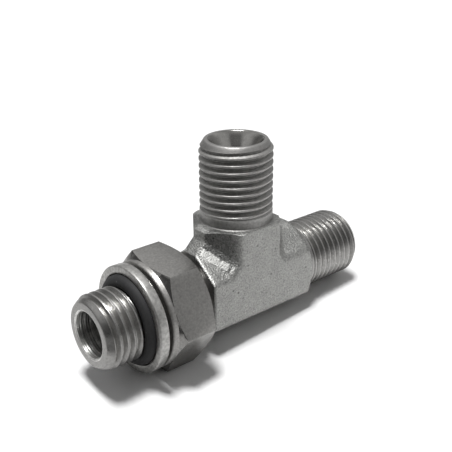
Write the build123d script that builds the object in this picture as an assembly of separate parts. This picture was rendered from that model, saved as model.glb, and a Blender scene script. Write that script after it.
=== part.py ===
from build123d import *
import math
import os

# Adjustable swivel tee: a forged three-arm body with a lock nut, a retaining ring and an O-ring on its stud.
# Millimetres. The origin is where the axes of the branch (+Z) and of the run (along X) cross.

# G 1/4 parallel thread, shown here by its outside diameter
thread_major_diameter = 13.157
thread_radius = thread_major_diameter / 2

# threaded legs: where the branch and the run end, and their tips
leg_length = 27.0
end_rim_radius = 5.6
end_chamfer_length = 1.5

# 60 degree cone seats and bores
cone_mouth_radius = 4.9
cone_half_angle = 30.0
run_bore_radius = 3.0
stud_bore_radius = 4.1
stud_bore_depth = 12.0
stud_mouth_chamfer = 0.2
drill_point_half_angle = 59.0

# forged section, the same on all three arms: across the parting plane and in it
forging_half_depth = 7.0
forging_half_width = 8.45
front_face_half_width = 4.45
side_band_half_depth = 1.6
front_edge_round = 1.2
side_edge_round = 0.3
stud_crotch_chamfer = 2.0
run_crotch_chamfer = 1.0

# turned ends of the arms, and the corner that the forging lacks at the branch's end
run_shoulder = 13.35
run_cone_half_angle = 55.0
branch_shoulder = 12.25
branch_face_radius = 7.75
branch_cone_half_angle = 62.0
short_corner_width = 6.2
short_corner_slope = 45.0
shank_root = 0.15
stud_arm_face = 10.75
stud_arm_edge_break = 0.3

# stud: front thread, neck under the seals, rear thread under the nut, and a relief at the body
front_thread_length = 6.45
neck_shoulder = 0.45
neck_radius = 5.6
neck_length = 5.15
rear_thread_edge = 0.4
relief_length = 1.15

# O-ring, with its gap to the end of the front thread, and retaining ring
seal_gap = 0.22
seal_section_radius = 1.2
seal_section_sides = 12
seal_clearance = 0.02
ring_thickness = 1.75
ring_radius = 9.55
ring_recess_radius = 8.2
ring_flange = 0.45
ring_clearance = 0.08
ring_edge_break = 0.1

# lock nut, and its gaps to the body's arm and to the retaining ring
nut_standoff = 2.36
nut_gap = 0.85
nut_across_flats = 19.0
nut_turn = -24.6
nut_hexagon_length = 7.3
nut_collar_length = 0.95
nut_collar_radius = 9.5
nut_collar_edge_break = 0.12
nut_chamfer_angle = 30.0
nut_mouth_chamfer = 0.6
nut_clearance = 0.05

# how near an edge must be to count as the one looked for
edge_tolerance = 0.01


def turned(points):
    """A solid of revolution about X from (x, radius) points."""
    outline = [(points[0][0], 0), *points, (points[-1][0], 0)]
    return revolve(make_face(Polyline(outline, close=True)), Axis.X)


def is_at(value, size):
    return abs(abs(value) - size) < edge_tolerance


def straight_edges(shape):
    return [edge for edge in shape.edges() if edge.geom_type == GeomType.LINE]


def arm_front_edges(shape):
    """The front and back edges that follow the arms of the forging."""
    found = []
    for edge in straight_edges(shape):
        middle = edge.center()
        on_depth = all(is_at(end.Y, forging_half_depth) for end in edge.vertices())
        on_width = is_at(middle.X, front_face_half_width) or is_at(middle.Z, front_face_half_width)
        if on_depth and on_width and edge.length > 2 * front_edge_round:
            found.append(edge)
    return found


def web_front_edges(shape, side, size):
    """The front and back edges that cross one crotch at 45 degrees, from one arm to the next."""
    found = []
    for edge in straight_edges(shape):
        middle = edge.center()
        on_depth = all(is_at(end.Y, forging_half_depth) for end in edge.vertices())
        if on_depth and is_at(side * middle.X + middle.Z, 2 * front_face_half_width + size):
            found.append(edge)
    return found


def forged_section(front_half_width, half_width):
    """The forging's eight-sided section, its width along the first axis."""
    corners = [
        (front_half_width, forging_half_depth),
        (half_width, side_band_half_depth),
        (half_width, -side_band_half_depth),
        (front_half_width, -forging_half_depth),
        (-front_half_width, -forging_half_depth),
        (-half_width, -side_band_half_depth),
        (-half_width, side_band_half_depth),
        (-front_half_width, forging_half_depth),
    ]
    return make_face(Polyline(corners, close=True))


def forged_arm(start, end):
    """One arm of the forging along X, its side edges rounded and its front edges still sharp."""
    section = forged_section(front_face_half_width, forging_half_width)
    side_corners = [corner for corner in section.vertices() if is_at(corner.Y, side_band_half_depth)]
    plane = Plane(origin=(start, 0, 0), x_dir=(0, 0, 1), z_dir=(1, 0, 0))
    return extrude(plane * fillet(side_corners, side_edge_round), end - start)


def crotch_web(side, size):
    """A slab at 45 degrees that fills the crotch between the branch and one arm of the run."""
    reach = size / math.sqrt(2)
    section = forged_section(
        front_face_half_width * math.sqrt(2) + reach,
        forging_half_width * math.sqrt(2) + reach,
    )
    plane = Plane(origin=(0, 0, 0), x_dir=(side, 0, 1), z_dir=(1, 0, -side))
    upper_half = Pos(0, 0, 2 * forging_half_width) * Box(*[4 * forging_half_width] * 3)
    return extrude(plane * section, reach, both=True) & upper_half


def turned_end(shoulder, face_radius, half_angle):
    """The turned limit of an arm: a flat shoulder with a cone round it."""
    wide = 2 * forging_half_width
    foot = shoulder - (wide - face_radius) / math.tan(math.radians(half_angle))
    return turned([(-wide, wide), (foot, wide), (shoulder, face_radius)])


def short_corner(shoulder):
    """The sloped corner at an upright arm's end, on the side of the run."""
    wide = 2 * forging_half_width
    drop = (wide - short_corner_width) * math.tan(math.radians(short_corner_slope))
    corners = [(shoulder, -short_corner_width), (shoulder, -wide), (shoulder - drop, -wide)]
    return extrude(Plane.XZ * make_face(Polyline(corners, close=True)), wide, both=True)


def coned_shank():
    """A threaded leg's shank with its end chamfer, from the middle of the tee outwards."""
    chamfer_start = leg_length - end_chamfer_length
    return turned([(0, thread_radius), (chamfer_start, thread_radius), (leg_length, end_rim_radius)])


def cone_seat():
    """The 60 degree cone in a leg's mouth and the bore that leads in from it."""
    depth = (cone_mouth_radius - run_bore_radius) / math.tan(math.radians(cone_half_angle))
    return turned([(0, run_bore_radius), (leg_length - depth, run_bore_radius), (leg_length, cone_mouth_radius)])


# the forging: three arms and the webs in its crotches, then its front and back edges rounded
upright = Rot(0, -90, 0)
run_arms = forged_arm(-stud_arm_face, run_shoulder)
stud_arm_edges = run_arms.faces().sort_by(Axis.X)[0].edges()
run_arms = chamfer(stud_arm_edges, stud_arm_edge_break)
run_arms &= turned_end(run_shoulder, thread_radius, run_cone_half_angle)
branch_arm = forged_arm(0, branch_shoulder) - short_corner(branch_shoulder)
branch_arm &= turned_end(branch_shoulder, branch_face_radius, branch_cone_half_angle)
crotches = {-1: stud_crotch_chamfer, 1: run_crotch_chamfer}
forging = run_arms + upright * branch_arm
for side, size in crotches.items():
    forging += crotch_web(side, size)
front_edges = arm_front_edges(forging)
for side, size in crotches.items():
    front_edges += web_front_edges(forging, side, size)
forging = fillet(front_edges, front_edge_round)

# what stands on the stud, from the body outwards, each place a distance from the tee's middle
nut_back = stud_arm_face + nut_standoff
nut_front_face = nut_back + nut_hexagon_length
nut_collar_front = nut_front_face + nut_collar_length
ring_back = nut_collar_front + nut_gap
ring_front = ring_back + ring_thickness
recess_floor = ring_back + ring_flange
seal_centre = recess_floor + seal_clearance + seal_section_radius
front_thread_end = seal_centre + seal_section_radius + seal_gap
stud_length = front_thread_end + front_thread_length

# the turned stud, from its tip to the body
neck_start = front_thread_end - neck_shoulder
rear_thread_start = neck_start - neck_length
relief_start = stud_arm_face + relief_length
stud = turned([
    (-stud_length, end_rim_radius),
    (end_chamfer_length - stud_length, thread_radius),
    (-front_thread_end, thread_radius),
    (-neck_start, neck_radius),
    (-rear_thread_start, neck_radius),
    (rear_thread_edge - rear_thread_start, thread_radius),
    (-relief_start - rear_thread_edge, thread_radius),
    (-relief_start, neck_radius),
    (0, neck_radius),
])

# body with its shanks, cone seats and bores
branch_root = turned([
    (0, thread_radius),
    (branch_shoulder, thread_radius + shank_root),
    (branch_shoulder + shank_root, thread_radius),
])
tee_body = forging + stud + coned_shank() + upright * (coned_shank() + branch_root)
tee_body -= cone_seat()
tee_body -= upright * cone_seat()
stud_bore_end = stud_bore_depth - stud_length
drill_point = (stud_bore_radius - run_bore_radius) / math.tan(math.radians(drill_point_half_angle))
tee_body -= turned([
    (-stud_length, stud_bore_radius + stud_mouth_chamfer),
    (stud_mouth_chamfer - stud_length, stud_bore_radius),
    (stud_bore_end, stud_bore_radius),
    (stud_bore_end + drill_point, run_bore_radius),
    (0, run_bore_radius),
])

# O-ring on the neck
seal_path_radius = neck_radius + seal_clearance + seal_section_radius
seal_section = Pos(-seal_centre, seal_path_radius) * RegularPolygon(seal_section_radius, seal_section_sides)
o_ring = revolve(seal_section, Axis.X)

# retaining ring: a plain ring with a flange at its back that rides on the stud's neck
retaining_ring = turned([
    (-ring_front, ring_radius - ring_edge_break),
    (ring_edge_break - ring_front, ring_radius),
    (-ring_back - ring_edge_break, ring_radius),
    (-ring_back, ring_radius - ring_edge_break),
])
retaining_ring -= turned([(-ring_front, ring_recess_radius), (-recess_floor, ring_recess_radius)])
flange_bore_radius = neck_radius + ring_clearance
retaining_ring -= turned([(-ring_front, flange_bore_radius), (-ring_back, flange_bore_radius)])

# lock nut: a hexagon turned down at both ends, with a collar in front
nut_bore_radius = thread_radius + nut_clearance
corner_radius = nut_across_flats / math.sqrt(3)
corner_drop = (corner_radius - nut_collar_radius) * math.tan(math.radians(nut_chamfer_angle))
hexagon = RegularPolygon(nut_across_flats / 2, 6, major_radius=False, rotation=nut_turn)
hexagon_plane = Plane(origin=(-nut_front_face, 0, 0), x_dir=(0, 0, 1), z_dir=(1, 0, 0))
lock_nut = extrude(hexagon_plane * hexagon, nut_hexagon_length)
lock_nut &= turned([
    (-nut_front_face, nut_collar_radius),
    (corner_drop - nut_front_face, corner_radius),
    (-nut_back - corner_drop, corner_radius),
    (-nut_back, nut_collar_radius),
])
lock_nut += turned([
    (-nut_collar_front, nut_collar_radius - nut_collar_edge_break),
    (nut_collar_edge_break - nut_collar_front, nut_collar_radius),
    (-nut_front_face, nut_collar_radius),
    (-nut_back, nut_bore_radius),
])
lock_nut -= turned([
    (-nut_collar_front, nut_bore_radius + nut_mouth_chamfer),
    (nut_mouth_chamfer - nut_collar_front, nut_bore_radius),
    (-nut_back - nut_mouth_chamfer, nut_bore_radius),
    (-nut_back, nut_bore_radius + nut_mouth_chamfer),
])

os.makedirs("parts", exist_ok=True)
pieces = {"tee_body": tee_body, "lock_nut": lock_nut, "retaining_ring": retaining_ring, "o_ring": o_ring}
for name, piece in pieces.items():
    export_step(piece, f"parts/{name}.step")
    print(name, "volume", round(piece.volume, 1), "solids", len(piece.solids()))
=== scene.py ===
import math
import bpy
from mathutils import Matrix, Vector


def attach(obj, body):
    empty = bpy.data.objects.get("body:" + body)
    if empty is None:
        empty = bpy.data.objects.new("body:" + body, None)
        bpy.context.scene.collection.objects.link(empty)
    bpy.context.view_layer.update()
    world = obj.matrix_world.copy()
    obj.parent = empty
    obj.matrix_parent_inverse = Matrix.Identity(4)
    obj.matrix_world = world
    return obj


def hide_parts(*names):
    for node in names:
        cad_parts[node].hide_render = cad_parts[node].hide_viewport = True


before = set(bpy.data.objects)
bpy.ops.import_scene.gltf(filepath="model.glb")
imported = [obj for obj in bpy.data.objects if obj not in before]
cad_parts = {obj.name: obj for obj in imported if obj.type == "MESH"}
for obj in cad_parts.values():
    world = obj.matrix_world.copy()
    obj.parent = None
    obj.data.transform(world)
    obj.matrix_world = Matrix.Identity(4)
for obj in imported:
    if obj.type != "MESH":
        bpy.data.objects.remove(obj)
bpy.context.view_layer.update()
print("stage: frame loaded")

millimetre = 0.001
weldDistance = 0.0005 * millimetre
seamDistance = 0.001 * millimetre
edgeSegments = 2

# the thread, taken to be G 1/4, in millimetres, with flat crests as a cut thread has them
thread = {
    "radius": 6.5785,
    "crestRadius": 6.563,
    "pitch": 1.337,
    "crestFlat": 0.30,
    "crestRound": 0.05,
    "rootRound": 0.1836,
    "flankAngle": 27.5,
    "stepsPerTurn": 112,
    "spareTurns": 2,
}


def deselectAll():
    if bpy.context.object and bpy.context.object.mode != "OBJECT":
        bpy.ops.object.mode_set(mode="OBJECT")
    bpy.ops.object.select_all(action="DESELECT")


def makeActive(piece):
    deselectAll()
    piece.select_set(True)
    bpy.context.view_layer.objects.active = piece


def startPoint(name, point):
    # one vertex at a point, in millimetres, left in edit mode
    deselectAll()
    bpy.ops.mesh.primitive_plane_add(size=millimetre, location=(0, 0, 0))
    piece = bpy.context.object
    piece.name = name
    piece.data.name = name
    bpy.ops.object.mode_set(mode="EDIT")
    bpy.ops.mesh.select_mode(type="VERT")
    bpy.ops.mesh.select_all(action="SELECT")
    bpy.ops.mesh.merge(type="CENTER")
    bpy.ops.transform.translate(value=Vector(point) * millimetre)
    return piece


def drawProfile(name, points):
    # an open outline in the XZ plane from (radius, height) pairs in millimetres
    last = points[0]
    piece = startPoint(name, (last[0], 0, last[1]))
    for radius, height in points[1:]:
        step = Vector((radius - last[0], 0, height - last[1])) * millimetre
        bpy.ops.mesh.extrude_region_move(TRANSFORM_OT_translate={"value": step})
        last = (radius, height)
    bpy.ops.object.mode_set(mode="OBJECT")
    return piece


def applyModifier(piece, kind, **values):
    makeActive(piece)
    modifier = piece.modifiers.new(kind.lower(), kind)
    for key, value in values.items():
        setattr(modifier, key, value)
    bpy.ops.object.modifier_apply(modifier=modifier.name)


def mergeDoubles(piece):
    makeActive(piece)
    bpy.ops.object.mode_set(mode="EDIT")
    bpy.ops.mesh.select_all(action="SELECT")
    bpy.ops.mesh.remove_doubles(threshold=weldDistance)
    bpy.ops.mesh.normals_make_consistent(inside=False)
    bpy.ops.object.mode_set(mode="OBJECT")
    return piece


def screwAround(piece, steps, **values):
    applyModifier(piece, "SCREW", axis="Z", angle=math.tau, steps=steps, render_steps=steps,
                  use_smooth_shade=False, **values)


def turnProfile(name, points, steps):
    # a closed solid of revolution about Z from (radius, height) pairs in millimetres
    piece = drawProfile(name, points)
    screwAround(piece, steps, screw_offset=0.0, iterations=1, use_merge_vertices=True,
                merge_threshold=seamDistance)
    return mergeDoubles(piece)


def threadRoot():
    # the radius at the bottom of the rounded root, from the crest's flat and the flanks
    flank = math.radians(thread["flankAngle"])
    sharpRoot = thread["crestRadius"] - (thread["pitch"] - thread["crestFlat"]) / 2 / math.tan(flank)
    return sharpRoot + thread["rootRound"] * (1 / math.sin(flank) - 1)


def arcPoints(radius, height, rounding, angles, outwards):
    # points of a rounded corner, from the angles above the horizontal
    side = 1 if outwards else -1
    return [
        (radius + side * rounding * math.cos(angle), height + rounding * math.sin(angle))
        for angle in angles
    ]


def threadOutline(zero):
    # one pitch of the outline, from the middle of one crest's flat to the next
    bend = math.radians(90 - thread["flankAngle"])
    half = bend / 2
    crestRound, rootRound = thread["crestRound"], thread["rootRound"]
    corner = thread["crestFlat"] / 2 - crestRound * math.tan(half)
    crestCentre = thread["crestRadius"] - crestRound
    rootCentre = threadRoot() + rootRound
    pitch = thread["pitch"]
    outline = [(thread["crestRadius"], zero)]
    outline += arcPoints(crestCentre, zero + corner, crestRound, (0, half, bend), True)
    outline += arcPoints(rootCentre, zero + pitch / 2, rootRound, (-bend, -half, 0, half, bend), False)
    outline += arcPoints(crestCentre, zero + pitch - corner, crestRound, (-bend, -half, 0), True)
    return [*outline, (thread["crestRadius"], zero + pitch)]


def threadedRod(name, crestAtZero, low, high):
    # a closed right-hand threaded rod about Z that reaches past both heights
    pitch = thread["pitch"]
    turnsBelow = math.ceil((crestAtZero - low) / pitch) + thread["spareTurns"]
    zero = crestAtZero - turnsBelow * pitch
    turns = math.ceil((high - zero) / pitch) + thread["spareTurns"]
    piece = drawProfile(name, threadOutline(zero))
    screwAround(piece, thread["stepsPerTurn"], screw_offset=pitch * millimetre, iterations=turns)
    mergeDoubles(piece)
    for end in (0, 1):
        closeRodEnd(piece, end)
    return mergeDoubles(piece)


def closeRodEnd(piece, end):
    # closes one open end of a threaded rod with a fan of faces to one point in its middle
    makeActive(piece)
    bpy.ops.object.mode_set(mode="EDIT")
    bpy.ops.mesh.select_mode(type="VERT")
    bpy.ops.mesh.select_all(action="DESELECT")
    bpy.ops.mesh.select_non_manifold()
    bpy.ops.object.mode_set(mode="OBJECT")
    heights = [v.co.z for v in piece.data.vertices]
    middle = (min(heights) + max(heights)) / 2
    for vertex in piece.data.vertices:
        if (vertex.co.z > middle) != bool(end):
            vertex.select = False
    for edge in piece.data.edges:
        edge.select = all(piece.data.vertices[v].select for v in edge.vertices) and edge.select
    bpy.ops.object.mode_set(mode="EDIT")
    bpy.ops.mesh.extrude_region()
    bpy.ops.mesh.merge(type="CENTER")
    bpy.ops.object.mode_set(mode="OBJECT")


def cutAway(piece, cutter):
    applyModifier(piece, "BOOLEAN", operation="DIFFERENCE", solver="EXACT", object=cutter)
    bpy.data.objects.remove(cutter, do_unlink=True)


# dies, in millimetres: the sleeve that holds the thread's shape, and the cone of its run-out
dieFacts = {
    "sleeveRadius": 7.8,
    "sleeveSteps": 64,
    "beyondSleeve": 1,
    "fadeSteps": 96,
    "overShank": 0.06,
    "underRoot": 0.1,
}


def threadDie(name, crestAtZero, low, high, runOut):
    # what a threading die takes off a shank about Z: a sleeve with the thread's shape inside
    wall, beyond = dieFacts["sleeveRadius"], dieFacts["beyondSleeve"]
    die = turnProfile(name, [(0, low), (wall, low), (wall, high), (0, high)], dieFacts["sleeveSteps"])
    rod = threadedRod(name + "Rod", crestAtZero, low - beyond, high + beyond)
    cutAway(die, rod)
    mergeDoubles(die)
    if runOut:
        start, length = runOut
        wide = thread["radius"] + dieFacts["overShank"]
        fade = turnProfile(name + "Fade", [
            (0, low - beyond), (wide, low - beyond), (wide, start),
            (threadRoot() - dieFacts["underRoot"], start + length), (0, start + length),
        ], dieFacts["fadeSteps"])
        cutAway(die, fade)
    return mergeDoubles(die)


def alongRun(piece):
    # turns a piece made about Z so that its axis is the run's, along X
    makeActive(piece)
    bpy.ops.object.mode_set(mode="EDIT")
    bpy.ops.mesh.select_all(action="SELECT")
    bpy.ops.transform.rotate(value=-math.pi / 2, orient_axis="Y", orient_type="GLOBAL",
                             center_override=(0, 0, 0))
    bpy.ops.object.mode_set(mode="OBJECT")
    return piece


def copyNode(node, name):
    # a welded copy of a CAD node's mesh, as a piece of its own
    deselectAll()
    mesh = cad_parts[node].data.copy()
    piece = bpy.data.objects.new(name, mesh)
    bpy.context.scene.collection.objects.link(piece)
    mesh.name = name
    mesh.materials.clear()
    makeActive(piece)
    if mesh.has_custom_normals:
        bpy.ops.mesh.customdata_custom_splitnormals_clear()
    return mergeDoubles(piece)


def smoothByAngle(piece, degrees):
    makeActive(piece)
    bpy.ops.object.shade_smooth_by_angle(angle=math.radians(degrees))


# camera: fitted to the photograph's thread crests, end circles and body corners
cameraFacts = {
    "azimuth": -39.894,
    "elevation": 23.274,
    "roll": -0.447,
    "distance": 138.004,
    "target": (-2.388, 0.0, 11.097),
    "lens": 61.35,
    "sensorWidth": 36.0,
    "nearestMetres": 0.005,
    "farthestMetres": 20.0,
}


def placeCamera():
    azimuth = math.radians(cameraFacts["azimuth"])
    elevation = math.radians(cameraFacts["elevation"])
    level = math.cos(elevation)
    away = Vector((math.sin(azimuth) * level, -math.cos(azimuth) * level, math.sin(elevation)))
    target = Vector(cameraFacts["target"]) * millimetre
    data = bpy.data.cameras.new("photoCamera")
    camera = bpy.data.objects.new("photoCamera", data)
    bpy.context.scene.collection.objects.link(camera)
    data.sensor_width = cameraFacts["sensorWidth"]
    data.lens = cameraFacts["lens"]
    data.clip_start = cameraFacts["nearestMetres"]
    data.clip_end = cameraFacts["farthestMetres"]
    camera.location = target + away * cameraFacts["distance"] * millimetre
    turn = (-away).to_track_quat("-Z", "Y").to_matrix()
    roll = Matrix.Rotation(math.radians(cameraFacts["roll"]), 3, "Z")
    camera.rotation_euler = (turn @ roll).to_euler()
    bpy.context.scene.camera = camera


placeCamera()
print("stage: camera")


# body: the CAD body with its threads cut by dies, which are placed by the height of one crest
bodyFacts = {
    "rimRound": 0.14,
    "rimAlong": 0.02,
    "rimAcross": 0.03,
    "smoothAngle": 32,
    "normalWeight": 50,
    "studCrest": -31.8719,
}

# the turned edges of the three ends: axis, height along it and radius
rims = [
    ("Z", 27.0, 5.6), ("Z", 27.0, 4.9),
    ("X", 27.0, 5.6), ("X", 27.0, 4.9),
    ("X", -31.75, 5.6), ("X", -31.75, 4.3),
]

# the dies: axis, height of a crest, lowest and highest place, and the run-out's start and length
dies = {
    "branchDie": ("Z", 22.9688, 13.1, 28.0, (13.9, 1.5)),
    "runDie": ("X", 23.0361, 13.4, 28.0, (14.05, 1.1)),
    "studDie": ("X", bodyFacts["studCrest"], -32.6, -24.9, None),
    "rearDie": ("X", bodyFacts["studCrest"], -20.4, -11.2, None),
}


def isOnRim(point, rim):
    axis, height, radius = rim
    x, y, z = (value / millimetre for value in point)
    along, across = (z, math.hypot(x, y)) if axis == "Z" else (x, math.hypot(y, z))
    return abs(along - height) < bodyFacts["rimAlong"] and abs(across - radius) < bodyFacts["rimAcross"]


def breakRims(piece):
    # rounds the sharp turned edges of the ends
    makeActive(piece)
    bpy.ops.object.mode_set(mode="EDIT")
    bpy.ops.mesh.select_mode(type="EDGE")
    bpy.ops.mesh.select_all(action="DESELECT")
    bpy.ops.object.mode_set(mode="OBJECT")
    points = piece.data.vertices
    for edge in piece.data.edges:
        edge.select = any(all(isOnRim(points[end].co, rim) for end in edge.vertices) for rim in rims)
    print("rim edges", sum(edge.select for edge in piece.data.edges))
    bpy.ops.object.mode_set(mode="EDIT")
    bpy.ops.mesh.bevel(offset=bodyFacts["rimRound"] * millimetre, segments=edgeSegments,
                       affect="EDGES", clamp_overlap=True)
    bpy.ops.object.mode_set(mode="OBJECT")


teeSteel = copyNode("tee_body", "teeSteel")
breakRims(teeSteel)
for dieName, (dieAxis, *diePlaces) in dies.items():
    die = threadDie(dieName, *diePlaces)
    cutAway(teeSteel, alongRun(die) if dieAxis == "X" else die)
smoothByAngle(teeSteel, bodyFacts["smoothAngle"])
applyModifier(teeSteel, "WEIGHTED_NORMAL", mode="FACE_AREA", weight=bodyFacts["normalWeight"],
              keep_sharp=True)
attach(teeSteel, "tee")
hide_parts("tee_body")
print("stage: body", len(teeSteel.data.polygons))


# nut and ring: the CAD shapes with their sharp edges broken, in millimetres and degrees
edgeFacts = {"nutEdge": 0.07, "ringEdge": 0.04, "flatAngle": 0.5, "sharpAngle": 25, "smoothAngle": 30}


def breakEdges(piece, width):
    makeActive(piece)
    bpy.ops.object.mode_set(mode="EDIT")
    bpy.ops.mesh.select_all(action="SELECT")
    bpy.ops.mesh.dissolve_limited(angle_limit=math.radians(edgeFacts["flatAngle"]))
    bpy.ops.object.mode_set(mode="OBJECT")
    applyModifier(piece, "BEVEL", width=width * millimetre, segments=edgeSegments,
                  limit_method="ANGLE", angle_limit=math.radians(edgeFacts["sharpAngle"]),
                  harden_normals=False)
    smoothByAngle(piece, edgeFacts["smoothAngle"])


nutSteel = copyNode("lock_nut", "nutSteel")
breakEdges(nutSteel, edgeFacts["nutEdge"])
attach(nutSteel, "nut")
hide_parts("lock_nut")

ringSteel = copyNode("retaining_ring", "ringSteel")
breakEdges(ringSteel, edgeFacts["ringEdge"])
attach(ringSteel, "seal")
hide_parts("retaining_ring")
print("stage: nut and ring")


# O-ring: a round section with a low mould ridge at its outer and inner side
sealFacts = {
    "sectionRadius": 1.18,
    "ridge": 0.02,
    "sectionSteps": 72,
    "along": -23.88,
    "pathRadius": 6.82,
    "steps": 144,
    "smoothAngle": 60,
}


def sealOutline():
    steps = sealFacts["sectionSteps"]
    outline = []
    for step in range(steps + 1):
        angle = math.tau * step / steps
        onMouldLine = step % (steps // 2) == 0
        radius = sealFacts["sectionRadius"] + (sealFacts["ridge"] if onMouldLine else 0)
        across = sealFacts["pathRadius"] + radius * math.cos(angle)
        outline.append((across, sealFacts["along"] + radius * math.sin(angle)))
    return outline


sealRubber = alongRun(turnProfile("sealRubber", sealOutline(), sealFacts["steps"]))
smoothByAngle(sealRubber, sealFacts["smoothAngle"])
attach(sealRubber, "seal")
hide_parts("o_ring")
print("stage: seal")


# materials: small helpers, then the effects shared by more than one finish
bevelSamples = 8


def addNode(tree, kind, inputs=None, **settings):
    node = tree.nodes.new(kind)
    for key, value in settings.items():
        setattr(node, key, value)
    for key, value in (inputs or {}).items():
        if isinstance(value, bpy.types.NodeSocket):
            tree.links.new(value, node.inputs[key])
        else:
            node.inputs[key].default_value = value
    return node


def maths(tree, operation, first, second=0.0):
    return addNode(tree, "ShaderNodeMath", {0: first, 1: second}, operation=operation).outputs[0]


def product(tree, first, *others):
    for other in others:
        first = maths(tree, "MULTIPLY", first, other)
    return first


def vectorMaths(tree, operation, inputs, result="Vector"):
    return addNode(tree, "ShaderNodeVectorMath", inputs, operation=operation).outputs[result]


def scaled(tree, vector, factor):
    # a plain colour or a vector times a factor that changes over the surface
    return vectorMaths(tree, "SCALE", {0: vector, "Scale": factor})


def split(tree, vector):
    return addNode(tree, "ShaderNodeSeparateXYZ", {"Vector": vector}).outputs


def mix(tree, mask, plain, marked):
    # sockets 2 and 3 are the node's two numbers
    return addNode(tree, "ShaderNodeMix", {"Factor": mask, 2: plain, 3: marked}).outputs[0]


def remap(tree, value, fromLow, fromHigh, toLow, toHigh):
    return addNode(tree, "ShaderNodeMapRange", {
        "Value": value, "From Min": fromLow, "From Max": fromHigh, "To Min": toLow, "To Max": toHigh,
    }).outputs["Result"]


def between(tree, mask, low, high):
    # low where the mask is 0 and high where it is 1
    return remap(tree, mask, 0.0, 1.0, low, high)


def ramp(tree, place, limits, low=0.0, high=1.0):
    # changes from low to high between two places in millimetres
    start, end = (value * millimetre for value in limits)
    return remap(tree, place, start, end, low, high)


def window(tree, place, limits):
    # a mask that is 1 between the inner two of four places in millimetres, and 0 past the outer two
    return product(tree, ramp(tree, place, limits[:2]), ramp(tree, place, limits[2:], 1.0, 0.0))


def fromAxis(tree, first, second):
    # the distance from an axis, out of the two coordinates across it
    flat = addNode(tree, "ShaderNodeCombineXYZ", {"X": first, "Y": second}).outputs["Vector"]
    return vectorMaths(tree, "LENGTH", {0: flat}, "Value")


def roundedNormal(tree, width):
    return addNode(tree, "ShaderNodeBevel", {"Radius": width}, samples=bevelSamples).outputs["Normal"]


def tilted(tree, normal, tilt, mask):
    # a normal turned a little where the mask is
    total = vectorMaths(tree, "ADD", {0: normal, 1: scaled(tree, tilt, mask)})
    return vectorMaths(tree, "NORMALIZE", {0: total})


def bumpFrom(tree, height, distance, normal=None):
    inputs = {"Height": height, "Strength": 1.0, "Distance": distance}
    if normal is not None:
        inputs["Normal"] = normal
    return addNode(tree, "ShaderNodeBump", inputs).outputs["Normal"]


def newGroup(name, inputs, outputs):
    # a shader node group with named float and vector sockets
    group = bpy.data.node_groups.new(name, "ShaderNodeTree")
    kinds = {"float": "NodeSocketFloat", "vector": "NodeSocketVector"}
    for label, kind in inputs:
        group.interface.new_socket(name=label, in_out="INPUT", socket_type=kinds[kind])
    for label, kind in outputs:
        group.interface.new_socket(name=label, in_out="OUTPUT", socket_type=kinds[kind])
    return group, group.nodes.new("NodeGroupInput").outputs, group.nodes.new("NodeGroupOutput").inputs


def useGroup(tree, group, inputs):
    return addNode(tree, "ShaderNodeGroup", inputs, node_tree=group).outputs[0]


groupFacts = {
    "grainRoughness": 0.6,
    "grainSpan": (0.3, 0.7),
    "marksDetail": 3.0,
    "marksRoughness": 0.7,
}


def makeGrain():
    # even mottling between a low and a high value
    group, given, result = newGroup("steelGrain", [
        ("Vector", "vector"), ("Scale", "float"), ("Detail", "float"), ("Low", "float"), ("High", "float"),
    ], [("Value", "float")])
    noise = addNode(group, "ShaderNodeTexNoise", {
        "Vector": given["Vector"], "Scale": given["Scale"], "Detail": given["Detail"],
        "Roughness": groupFacts["grainRoughness"]})
    value = remap(group, noise.outputs["Fac"], *groupFacts["grainSpan"], given["Low"], given["High"])
    group.links.new(value, result["Value"])
    return group


def makeMarks():
    # tool marks of turning: fine and coarse lines at random heights along an axis
    group, given, result = newGroup("turningMarks", [
        ("Along", "float"), ("Scale", "float"),
    ], [("Height", "float")])
    place = maths(group, "MULTIPLY", given["Along"], given["Scale"])
    noise = addNode(group, "ShaderNodeTexNoise", {
        "W": place, "Scale": 1.0, "Detail": groupFacts["marksDetail"],
        "Roughness": groupFacts["marksRoughness"]}, noise_dimensions="1D")
    group.links.new(noise.outputs["Fac"], result["Height"])
    return group


def makePits():
    # scattered small round pits, as a mask
    group, given, result = newGroup("smallPits", [
        ("Vector", "vector"), ("Scale", "float"), ("Radius", "float"), ("Share", "float"),
    ], [("Mask", "float")])
    cells = addNode(group, "ShaderNodeTexVoronoi", {
        "Vector": given["Vector"], "Scale": given["Scale"], "Randomness": 1.0})
    near = addNode(group, "ShaderNodeMapRange", {
        "Value": cells.outputs["Distance"], "From Min": given["Radius"], "From Max": 0.0,
        "To Min": 0.0, "To Max": 1.0}, interpolation_type="SMOOTHSTEP").outputs["Result"]
    pick = addNode(group, "ShaderNodeSeparateColor", {"Color": cells.outputs["Color"]}).outputs["Red"]
    chosen = maths(group, "LESS_THAN", pick, given["Share"])
    group.links.new(maths(group, "MULTIPLY", near, chosen), result["Mask"])
    return group


steelGrain = makeGrain()
turningMarks = makeMarks()
smallPits = makePits()


def grain(tree, place, scale, detail, low, high):
    return useGroup(tree, steelGrain, {
        "Vector": place, "Scale": scale, "Detail": detail, "Low": low, "High": high})


def ridges(tree, along, scale):
    return useGroup(tree, turningMarks, {"Along": along, "Scale": scale})


def pitMask(tree, place, scale, radius, share):
    return useGroup(tree, smallPits, {"Vector": place, "Scale": scale, "Radius": radius, "Share": share})


def newMaterial(name, metallic=0.0):
    material = bpy.data.materials.new(name)
    material.use_nodes = True
    tree = material.node_tree
    place = addNode(tree, "ShaderNodeTexCoord").outputs["Object"]
    shader = tree.nodes["Principled BSDF"]
    shader.inputs["Metallic"].default_value = metallic
    return material, tree, shader, place


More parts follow.
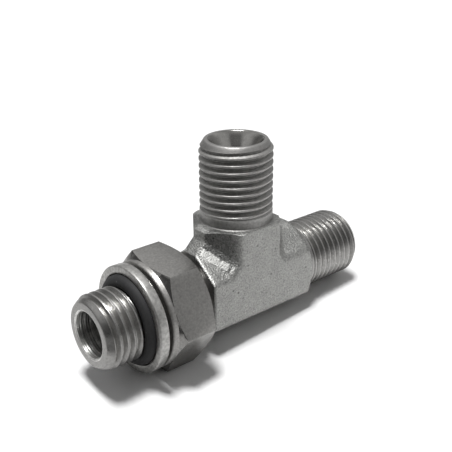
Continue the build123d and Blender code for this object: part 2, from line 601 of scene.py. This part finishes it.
def finishShader(tree, shader, colour, tone, roughness, normal):
    tree.links.new(scaled(tree, colour, tone), shader.inputs["Base Color"])
    tree.links.new(roughness, shader.inputs["Roughness"])
    tree.links.new(normal, shader.inputs["Normal"])


# places, widths and depths are in millimetres, and the scales of textures count per metre
forgedLook = {
    "colour": (0.38, 0.38, 0.368),
    "crotchRound": 1.2,
    "edgeRound": 0.25,
    "roundBelow": (11.0, 11.3),
    "roundInside": (-10.4, -10.0),
    "streakStart": 1.25,
    "streakSlope": 0.14,
    "streakHalfWidth": 1.45,
    "streakTaper": 0.11,
    "streakBlur": 0.1,
    "streakPaintedShade": 0.95,
    "streakTilt": (0.13, 0.14, 0.21),
    "streakHigh": (5.0, 5.4),
    "streakAlong": (1.7, 2.0, 5.65, 5.8),
    "patchAlong": (5.95, 6.1, 6.4, 6.6),
    "streakEnd": (-10.1, -9.7),
    "raggedScale": 1500.0,
    "ragged": 0.3,
    "raggedAlong": 0.6,
    "endEdge": (-10.44, -10.48, -10.60, -10.66),
    "endTilt": (0.145, 0.0, 0.12),
    "endRoughness": 0.34,
    "creviceBlur": 0.3,
    "creviceAlong": (1.2, 2.0, 5.2, 6.6),
    "creviceInside": (-4.2, -4.8),
    "paintedCreviceDarkness": 0.55,
    "grain": 3000.0,
    "grainDetail": 3.0,
    "grainShade": (0.6, 1.4),
    "grainDepth": 0.06,
    "polishedShare": 0.4,
    "roughness": (0.40, 0.54),
    "patch": 420.0,
    "patchDetail": 4.0,
    "patchShade": (0.9, 1.1),
    "pitScale": 900.0,
    "pitRadius": 0.3,
    "pitShare": 0.12,
    "pitShade": 0.35,
    "pitDepth": 0.06,
}


def crotchMarks(tree, place, part, look):
    # masks of the rubbed streak across the crotch between the branch and the stud's arm,
    # and of the painted shade in the crevice above it
    far = maths(tree, "ABSOLUTE", part["Y"])
    across = maths(tree, "ADD", product(tree, part["X"], -1.0), product(tree, part["Z"], -1.0))
    slope = product(tree, far, look["streakSlope"])
    middle = maths(tree, "SUBTRACT", look["streakStart"] * millimetre, slope)
    swing = look["ragged"] * millimetre
    ragged = grain(tree, place, look["raggedScale"], look["grainDetail"], -swing, swing)
    beside = maths(tree, "SUBTRACT", maths(tree, "ADD", across, ragged), middle)
    narrowing = product(tree, far, look["streakTaper"])
    half = maths(tree, "SUBTRACT", look["streakHalfWidth"] * millimetre, narrowing)
    beyond = maths(tree, "SUBTRACT", maths(tree, "ABSOLUTE", beside), half)
    strip = ramp(tree, beyond, (-look["streakBlur"], look["streakBlur"]), 1.0, 0.0)
    # the streak stops short of the front, and a small patch follows it
    alongIt = maths(tree, "ADD", far, product(tree, ragged, look["raggedAlong"]))
    streak = window(tree, alongIt, look["streakAlong"])
    patch = window(tree, alongIt, look["patchAlong"])
    inside = ramp(tree, part["X"], look["streakEnd"])
    ends = product(tree, maths(tree, "MAXIMUM", streak, patch), inside)
    high = ramp(tree, part["Z"], look["streakHigh"])
    overIt = maths(tree, "ADD", beside, half)
    # painted shade: the skin in the crevice above the streak is darkened
    paintedCreviceShade = product(
        tree,
        ramp(tree, overIt, (0.0, -look["creviceBlur"])),
        high,
        ramp(tree, far, look["creviceAlong"][:2]),
        ramp(tree, far, look["creviceAlong"][2:], 1.0, 0.0),
        ramp(tree, part["X"], look["creviceInside"]),
    )
    return product(tree, strip, ends, high), paintedCreviceShade


def forgedMaterial():
    # grey blasted forging skin with fine grain and small dark pits
    look = forgedLook
    material, tree, shader, place = newMaterial("forgedSkin", metallic=1.0)
    fine = grain(tree, place, look["grain"], look["grainDetail"], 0.0, 1.0)
    patchy = grain(tree, place, look["patch"], look["patchDetail"], *look["patchShade"])
    pits = pitMask(tree, place, look["pitScale"], look["pitRadius"], look["pitShare"])
    part = split(tree, place)
    endEdge = window(tree, part["X"], look["endEdge"])
    streak, paintedCreviceShade = crotchMarks(tree, place, part, look)
    # the streak and the arm's end edge get a painted shade in their colour, set against their highlight,
    # and shallower grain bumps
    polishedAndShaded = maths(tree, "MAXIMUM", streak, endEdge)
    tone = product(
        tree,
        between(tree, fine, *look["grainShade"]),
        patchy,
        between(tree, pits, 1.0, look["pitShade"]),
        between(tree, polishedAndShaded, 1.0, look["streakPaintedShade"]),
        between(tree, paintedCreviceShade, 1.0, look["paintedCreviceDarkness"]),
    )
    roughness = mix(tree, endEdge, between(tree, fine, *look["roughness"]), look["endRoughness"])
    # the crotches are rounded wide, and the edges near the ends narrowly
    below = ramp(tree, part["Z"], look["roundBelow"], 1.0, 0.0)
    within = product(tree, below, ramp(tree, part["X"], look["roundInside"]))
    width = between(tree, within, look["edgeRound"] * millimetre, look["crotchRound"] * millimetre)
    normal = tilted(tree, roundedNormal(tree, width), look["streakTilt"], streak)
    normal = tilted(tree, normal, look["endTilt"], endEdge)
    grainDepth = look["grainDepth"] * millimetre
    depth = between(tree, polishedAndShaded, grainDepth, grainDepth * look["polishedShare"])
    normal = bumpFrom(tree, fine, depth, normal)
    normal = bumpFrom(tree, product(tree, pits, -1.0), look["pitDepth"] * millimetre, normal)
    finishShader(tree, shader, look["colour"], tone, roughness, normal)
    return material


turnedLook = {
    "colour": (0.36, 0.355, 0.345),
    "paintedRootShade": {"X": 1.15, "Z": 0.95},
    "rootReach": 0.1,
    "crestWearAndGlint": 1.08,
    "wearAndGlintReach": (0.06, 0.02),
    "shankShade": 0.8,
    "threadFrom": (13.4, 14.0),
    "lines": 2800.0,
    "lineDepth": 0.03,
    "grain": 2200.0,
    "grainDetail": 4.0,
    "grainShade": (0.85, 1.15),
    "grainDepth": 0.03,
    "roughness": {"X": (0.42, 0.25), "Z": (0.56, 0.42)},
    "wornTip": (-29.2, -29.6),
    "tipTilt": (-0.22, 0.0, 0.0),
    "firstCrest": (24.9, 25.0, 25.9, 26.0),
    "firstDuller": 0.14,
    "rimFrom": (26.5, 26.6),
    "rimRound": 0.4,
    "legTip": (25.2, 25.4),
    "studTip": (-30.0, -30.2),
}


def turnedMaterial(name, axis):
    # turned and threaded steel about an axis: fine rings, painted light and shade in the thread's roots,
    # and crest wear with a painted highlight
    look = turnedLook
    material, tree, shader, place = newMaterial(name, metallic=1.0)
    part = split(tree, place)
    along = part[axis]
    across = ("X", "Y") if axis == "Z" else ("Y", "Z")
    radius = fromAxis(tree, part[across[0]], part[across[1]])
    crest, reach = thread["crestRadius"], look["rootReach"]
    # painted light and shade by radius: the thread's roots are darker on the branch and lighter on the run
    # and stud
    depth = ramp(tree, radius, (threadRoot() + reach, crest - reach), look["paintedRootShade"][axis], 1.0)
    # crest wear with a painted highlight: the crests are painted lighter
    wornAndGlinting = ramp(tree, radius, [crest - inwards for inwards in look["wearAndGlintReach"]], 1.0, look["crestWearAndGlint"])
    threaded = ramp(tree, maths(tree, "ABSOLUTE", along), look["threadFrom"])
    tone = product(tree, depth, mix(tree, threaded, look["shankShade"], wornAndGlinting))
    # near the ends the painted darkening of the roots is lifted
    for tip in (look["legTip"], look["studTip"]):
        tone = maths(tree, "MAXIMUM", tone, ramp(tree, along, tip))
    marks = ridges(tree, along, look["lines"])
    patchy = grain(tree, place, look["grain"], look["grainDetail"], *look["grainShade"])
    tone = product(tree, tone, patchy)
    # the first crest of a leg, cut by the end chamfer, is duller
    duller = product(tree, window(tree, along, look["firstCrest"]), look["firstDuller"])
    roughness = remap(tree, patchy, *look["grainShade"], *look["roughness"][axis])
    roughness = maths(tree, "ADD", roughness, duller)
    # the leg's rim is worn round, and the stud's worn tip is shaded as if it faced the end more
    width = ramp(tree, along, look["rimFrom"], 0.0, look["rimRound"] * millimetre)
    tip = ramp(tree, along, look["wornTip"])
    normal = tilted(tree, roundedNormal(tree, width), look["tipTilt"], tip)
    normal = bumpFrom(tree, marks, look["lineDepth"] * millimetre, normal)
    normal = bumpFrom(tree, patchy, look["grainDepth"] * millimetre, normal)
    finishShader(tree, shader, look["colour"], tone, roughness, normal)
    return material


seatLook = {
    "colour": (0.37, 0.365, 0.35),
    "grain": 700.0,
    "grainDetail": 3.0,
    "grainShade": (0.85, 1.1),
    "roughness": (0.3, 0.2),
    "lines": 9000.0,
    "lineDepth": 0.004,
}

drilledLook = {
    "colour": (0.44, 0.437, 0.425),
    "grain": 1200.0,
    "grainDetail": 4.0,
    "grainShade": (0.7, 1.2),
    "roughness": (0.42, 0.28),
    "lines": 1900.0,
    "lineDepth": 0.24,
    "mouth": (-30.7, -30.9),
    "mouthPaintedLight": 2.0,
}


def boredMaterial(name, axis, look):
    # bores and cone seats, finely turned, or drilled coarsely with painted light towards a lit mouth
    material, tree, shader, place = newMaterial(name, metallic=1.0)
    part = split(tree, place)
    marks = ridges(tree, part[axis], look["lines"])
    patchy = grain(tree, place, look["grain"], look["grainDetail"], *look["grainShade"])
    tone = patchy
    if "mouth" in look:
        # painted light: the drilled bore is painted lighter towards its mouth
        tone = product(tree, tone, ramp(tree, part[axis], look["mouth"], 1.0, look["mouthPaintedLight"]))
    roughness = remap(tree, patchy, *look["grainShade"], *look["roughness"])
    normal = bumpFrom(tree, marks, look["lineDepth"] * millimetre)
    finishShader(tree, shader, look["colour"], tone, roughness, normal)
    return material


nutLook = {
    "colour": (0.38, 0.373, 0.36),
    "grain": 2600.0,
    "grainDetail": 3.0,
    "grainShare": 0.2,
    "patch": 300.0,
    "patchDetail": 5.0,
    "patchShade": (0.93, 1.07),
    "lines": 5000.0,
    "lineDepth": 0.006,
    "roughness": (0.40, 0.32),
    "shinyFrom": (-20.35, -20.40),
    "shinyShade": 1.1,
    "shinyRoughness": 0.8,
    "edgeRound": 0.05,
    "frontFrom": (-20.42, -20.45),
    "frontRound": 0.8,
    "frontRoughness": 1.5,
    "chamfer": {
        "place": -20.41,
        "radius": 9.5,
        "slope": 0.5774,
        "off": (0.03, 0.06),
        "outside": (0.02, 0.05),
        "shade": 0.8,
        "roughness": 0.16,
    },
}

ringLook = {
    "colour": (0.46, 0.455, 0.44),
    "grain": 1800.0,
    "grainDetail": 3.0,
    "grainShare": 0.25,
    "patch": 500.0,
    "patchDetail": 5.0,
    "patchShade": (0.93, 1.07),
    "lines": 6000.0,
    "lineDepth": 0.008,
    "roughness": (0.60, 0.44),
    "shinyFrom": (-20.35, -20.40),
    "shinyShade": 1.1,
    "shinyRoughness": 0.8,
    "edgeRound": 0.35,
    "frontFrom": (-23.2, -23.23),
    "frontRound": 0.5,
    "frontRoughness": 1.0,
}


def chamferMask(tree, part, cone):
    # the turned cone in front of the nut's flats, found by how far a point lies off that cone
    outwards = maths(tree, "SUBTRACT", fromAxis(tree, part["Y"], part["Z"]), cone["radius"] * millimetre)
    back = maths(tree, "SUBTRACT", part["X"], cone["place"] * millimetre)
    off = maths(tree, "ABSOLUTE", maths(tree, "SUBTRACT", back, product(tree, outwards, cone["slope"])))
    return product(tree, ramp(tree, off, cone["off"], 1.0, 0.0), ramp(tree, outwards, cone["outside"]))


def nutMaterial(name, look):
    # drawn and turned steel with a thin dull plating
    material, tree, shader, place = newMaterial(name, metallic=1.0)
    part = split(tree, place)
    marks = ridges(tree, part["X"], look["lines"])
    share = look["grainShare"]
    fine = grain(tree, place, look["grain"], look["grainDetail"], 1 - share, 1 + share)
    patchy = grain(tree, place, look["patch"], look["patchDetail"], *look["patchShade"])
    # the turned front, with the collar, is shinier than the drawn hexagon
    shiny = ramp(tree, part["X"], look["shinyFrom"])
    tone = product(tree, fine, patchy, between(tree, shiny, 1.0, look["shinyShade"]))
    roughness = product(
        tree,
        remap(tree, patchy, *look["patchShade"], *look["roughness"]),
        between(tree, shiny, 1.0, look["shinyRoughness"]),
        ramp(tree, part["X"], look["frontFrom"], 1.0, look["frontRoughness"]),
    )
    if "chamfer" in look:
        # painted shade: the chamfer's colour is darkened, besides its smoother finish
        turned = chamferMask(tree, part, look["chamfer"])
        roughness = mix(tree, turned, roughness, look["chamfer"]["roughness"])
        tone = product(tree, tone, between(tree, turned, 1.0, look["chamfer"]["shade"]))
    # its front edge is rounded more than the others
    width = ramp(tree, part["X"], look["frontFrom"], look["edgeRound"] * millimetre,
                 look["frontRound"] * millimetre)
    normal = bumpFrom(tree, marks, look["lineDepth"] * millimetre, roundedNormal(tree, width))
    finishShader(tree, shader, look["colour"], tone, roughness, normal)
    return material


rubberLook = {
    "colour": (0.028, 0.028, 0.029),
    "grain": 2500.0,
    "grainDetail": 3.0,
    "grainShade": (0.6, 1.2),
    "grainDepth": 0.004,
    "roughness": (0.65, 0.8),
    "dustScale": 1400.0,
    "dustRadius": 0.3,
    "dustShare": 0.05,
    "dustShade": 4.0,
}


def rubberMaterial():
    # black moulded rubber with a slight sheen and dust
    look = rubberLook
    material, tree, shader, place = newMaterial("sealBlack")
    fine = grain(tree, place, look["grain"], look["grainDetail"], 0.0, 1.0)
    dust = pitMask(tree, place, look["dustScale"], look["dustRadius"], look["dustShare"])
    dusty = product(tree, dust, look["dustShade"])
    tone = maths(tree, "ADD", between(tree, fine, *look["grainShade"]), dusty)
    roughness = between(tree, fine, *look["roughness"])
    normal = bumpFrom(tree, fine, look["grainDepth"] * millimetre)
    finishShader(tree, shader, look["colour"], tone, roughness, normal)
    return material


# the body's faces take the finish of the place they are in, in millimetres
finishPlaces = {
    "branchShoulder": 12.26,
    "runShoulder": 13.34,
    "studShoulder": -10.74,
    "shoulderMargin": 0.01,
    "shoulderDepth": 1.2,
    "shoulderBore": 3.1,
    "seatRadius": 5.2,
    "drilledFrom": -12.0,
    "branchBore": 3.2,
    "runBore": 4.2,
    "runBoreReach": 14,
    "facingIn": -0.05,
}


def finishOf(centre, normal):
    x, y, z = (value / millimetre for value in centre)
    places = finishPlaces
    fromBranch, fromRun = math.hypot(x, y), math.hypot(y, z)
    if z > places["branchShoulder"] - places["shoulderDepth"]:
        if z > places["branchShoulder"] - places["shoulderMargin"] or fromBranch < places["shoulderBore"]:
            inwards = normal.x * x + normal.y * y < places["facingIn"]
            return "branchSeat" if inwards and fromBranch < places["seatRadius"] else "branchTurned"
    onEnd = x > places["runShoulder"] or x < places["studShoulder"]
    if onEnd or fromRun < places["runBore"] and abs(x) < places["runBoreReach"]:
        inwards = normal.y * y + normal.z * z < places["facingIn"] and fromRun < places["seatRadius"]
        if inwards and x < places["drilledFrom"]:
            return "studDrilled"
        return "runSeat" if inwards else "runTurned"
    return "branchSeat" if fromBranch < places["branchBore"] else "forgedSkin"


def finishBody():
    finishes = {
        "forgedSkin": forgedMaterial(),
        "branchTurned": turnedMaterial("branchTurned", "Z"),
        "runTurned": turnedMaterial("runTurned", "X"),
        "branchSeat": boredMaterial("branchSeat", "Z", seatLook),
        "runSeat": boredMaterial("runSeat", "X", seatLook),
        "studDrilled": boredMaterial("studDrilled", "X", drilledLook),
    }
    order = list(finishes)
    teeSteel.data.materials.clear()
    for name in order:
        teeSteel.data.materials.append(finishes[name])
    for face in teeSteel.data.polygons:
        face.material_index = order.index(finishOf(face.center, face.normal))


finishBody()
nutSteel.data.materials.clear()
nutSteel.data.materials.append(nutMaterial("nutSteel", nutLook))
ringSteel.data.materials.clear()
ringSteel.data.materials.append(nutMaterial("ringSteel", ringLook))
sealRubber.data.materials.append(rubberMaterial())
print("stage: materials")


# floor, in millimetres, set under the nut's lower flat and the run's thread
floorFacts = {
    "nutLeft": (-13.95, -4.567, -9.974),
    "nutRight": (-13.95, 6.355, -8.942),
    "runFoot": (25.5, 0.617, -6.551),
    "sizeMetres": 6.0,
    "below": 0.02,
    "whiteSeen": 1.0,
    "roughness": 0.9,
    "steelSpan": (-50.0, 40.0),
    "leftInSteel": 0.60,
    "rightInSteel": 0.98,
    "nearReach": (80.0, 200.0),
    "farInSteel": 0.5,
    "darkPatchCentre": (-62.0, -28.0, 0.0),
    "darkPatchReach": (21.6, 27.0),
    "darkPatchShade": 0.09,
}


def makeFloor():
    facts = floorFacts
    left, right, foot = (Vector(facts[key]) * millimetre for key in ("nutLeft", "nutRight", "runFoot"))
    upward = (foot - left).cross(right - left).normalized()
    deselectAll()
    bpy.ops.mesh.primitive_plane_add(size=facts["sizeMetres"], location=(0, 0, 0))
    floor = bpy.context.object
    floor.name = "studioFloor"
    floor.rotation_euler = upward.to_track_quat("Z", "Y").to_euler()
    floor.location = left - upward * facts["below"] * millimetre
    material, tree, shader, _ = newMaterial("floorPaper")
    # what the steel reflects of the floor, and the floor's bounced light, is painted: a painted shade,
    # paler at the right and darker far away, and a painted dark patch at the front left
    seen = addNode(tree, "ShaderNodeLightPath").outputs["Is Camera Ray"]
    world = addNode(tree, "ShaderNodeNewGeometry").outputs["Position"]
    sideways = split(tree, world)["X"]
    inSteel = ramp(tree, sideways, facts["steelSpan"], facts["leftInSteel"], facts["rightInSteel"])
    flat = vectorMaths(tree, "MULTIPLY", {0: world, 1: (1, 1, 0)})
    distance = vectorMaths(tree, "LENGTH", {0: flat}, "Value")
    centre = [value * millimetre for value in facts["darkPatchCentre"]]
    fromDarkPatch = vectorMaths(tree, "DISTANCE", {0: flat, 1: centre}, "Value")
    inSteel = product(
        tree,
        inSteel,
        ramp(tree, distance, facts["nearReach"], 1.0, facts["farInSteel"]),
        ramp(tree, fromDarkPatch, facts["darkPatchReach"], facts["darkPatchShade"], 1.0),
    )
    paper = mix(tree, seen, inSteel, facts["whiteSeen"])
    tree.links.new(scaled(tree, (1.0, 1.0, 1.0), paper), shader.inputs["Base Color"])
    shader.inputs["Roughness"].default_value = facts["roughness"]
    floor.data.materials.append(material)
    tilt = math.degrees(upward.angle(Vector((0, 0, 1))))
    print("floor tilt", round(tilt, 2), "upward", [round(c, 4) for c in upward])


makeFloor()


# lights: one soft overhead lamp, whose shadow edge was matched to the photograph's, and a dim room
lampFacts = {
    "direction": (-0.121, -0.010, 0.992),
    "distanceMetres": 3.0,
    "sizeMetres": 0.72,
    "power": 84.0,
}

roomFacts = {
    "horizonSpan": (-0.5, 0.5),
    "horizon": (0.08, 0.20),
    "wallSpan": (0.38, 0.52),
    "wall": 0.44,
    "ceilingSpan": (0.635, 0.835),
    "ceiling": 0.2,
    "inSteel": 1.5,
    "gapHalfAngle": 35.0,
    "gapBlur": 0.03,
    "gapShade": 0.12,
}


def makeLamp():
    data = bpy.data.lights.new("overheadLamp", "AREA")
    data.shape = "DISK"
    data.size = lampFacts["sizeMetres"]
    data.energy = lampFacts["power"]
    lamp = bpy.data.objects.new("overheadLamp", data)
    bpy.context.scene.collection.objects.link(lamp)
    towards = Vector(lampFacts["direction"]).normalized()
    lamp.location = towards * lampFacts["distanceMetres"]
    lamp.rotation_euler = (-towards).to_track_quat("-Z", "Y").to_euler()


def makeRoom():
    # a dim room with paler walls, and a dark gap in them on the camera's side
    facts = roomFacts
    room = bpy.data.worlds.new("dimRoom")
    bpy.context.scene.world = room
    room.use_nodes = True
    tree = room.node_tree
    towards = addNode(tree, "ShaderNodeTexCoord").outputs["Generated"]
    part = split(tree, towards)
    horizon = remap(tree, part["X"], *facts["horizonSpan"], *facts["horizon"])
    wall = remap(tree, part["Z"], *facts["wallSpan"], horizon, facts["wall"])
    ceiling = remap(tree, part["Z"], *facts["ceilingSpan"], 0.0, 1.0)
    azimuth = math.radians(cameraFacts["azimuth"])
    level = vectorMaths(tree, "MULTIPLY", {0: towards, 1: (1, 1, 0)})
    level = vectorMaths(tree, "NORMALIZE", {0: level})
    cameraSide = (math.sin(azimuth), -math.cos(azimuth), 0)
    facing = vectorMaths(tree, "DOT_PRODUCT", {0: level, 1: cameraSide}, "Value")
    edge = math.cos(math.radians(facts["gapHalfAngle"]))
    gap = remap(tree, facing, edge - facts["gapBlur"], edge + facts["gapBlur"], 1.0, facts["gapShade"])
    mirrored = addNode(tree, "ShaderNodeLightPath").outputs["Is Glossy Ray"]
    strength = product(
        tree,
        mix(tree, ceiling, wall, facts["ceiling"]),
        mix(tree, ceiling, gap, 1.0),
        between(tree, mirrored, 1.0, facts["inSteel"]),
    )
    tree.links.new(strength, tree.nodes["Background"].inputs["Strength"])
    tree.nodes["Background"].inputs["Color"].default_value = (1, 1, 1, 1)


makeLamp()
makeRoom()
bpy.context.scene.view_settings.view_transform = "Standard"
print("stage: lights")
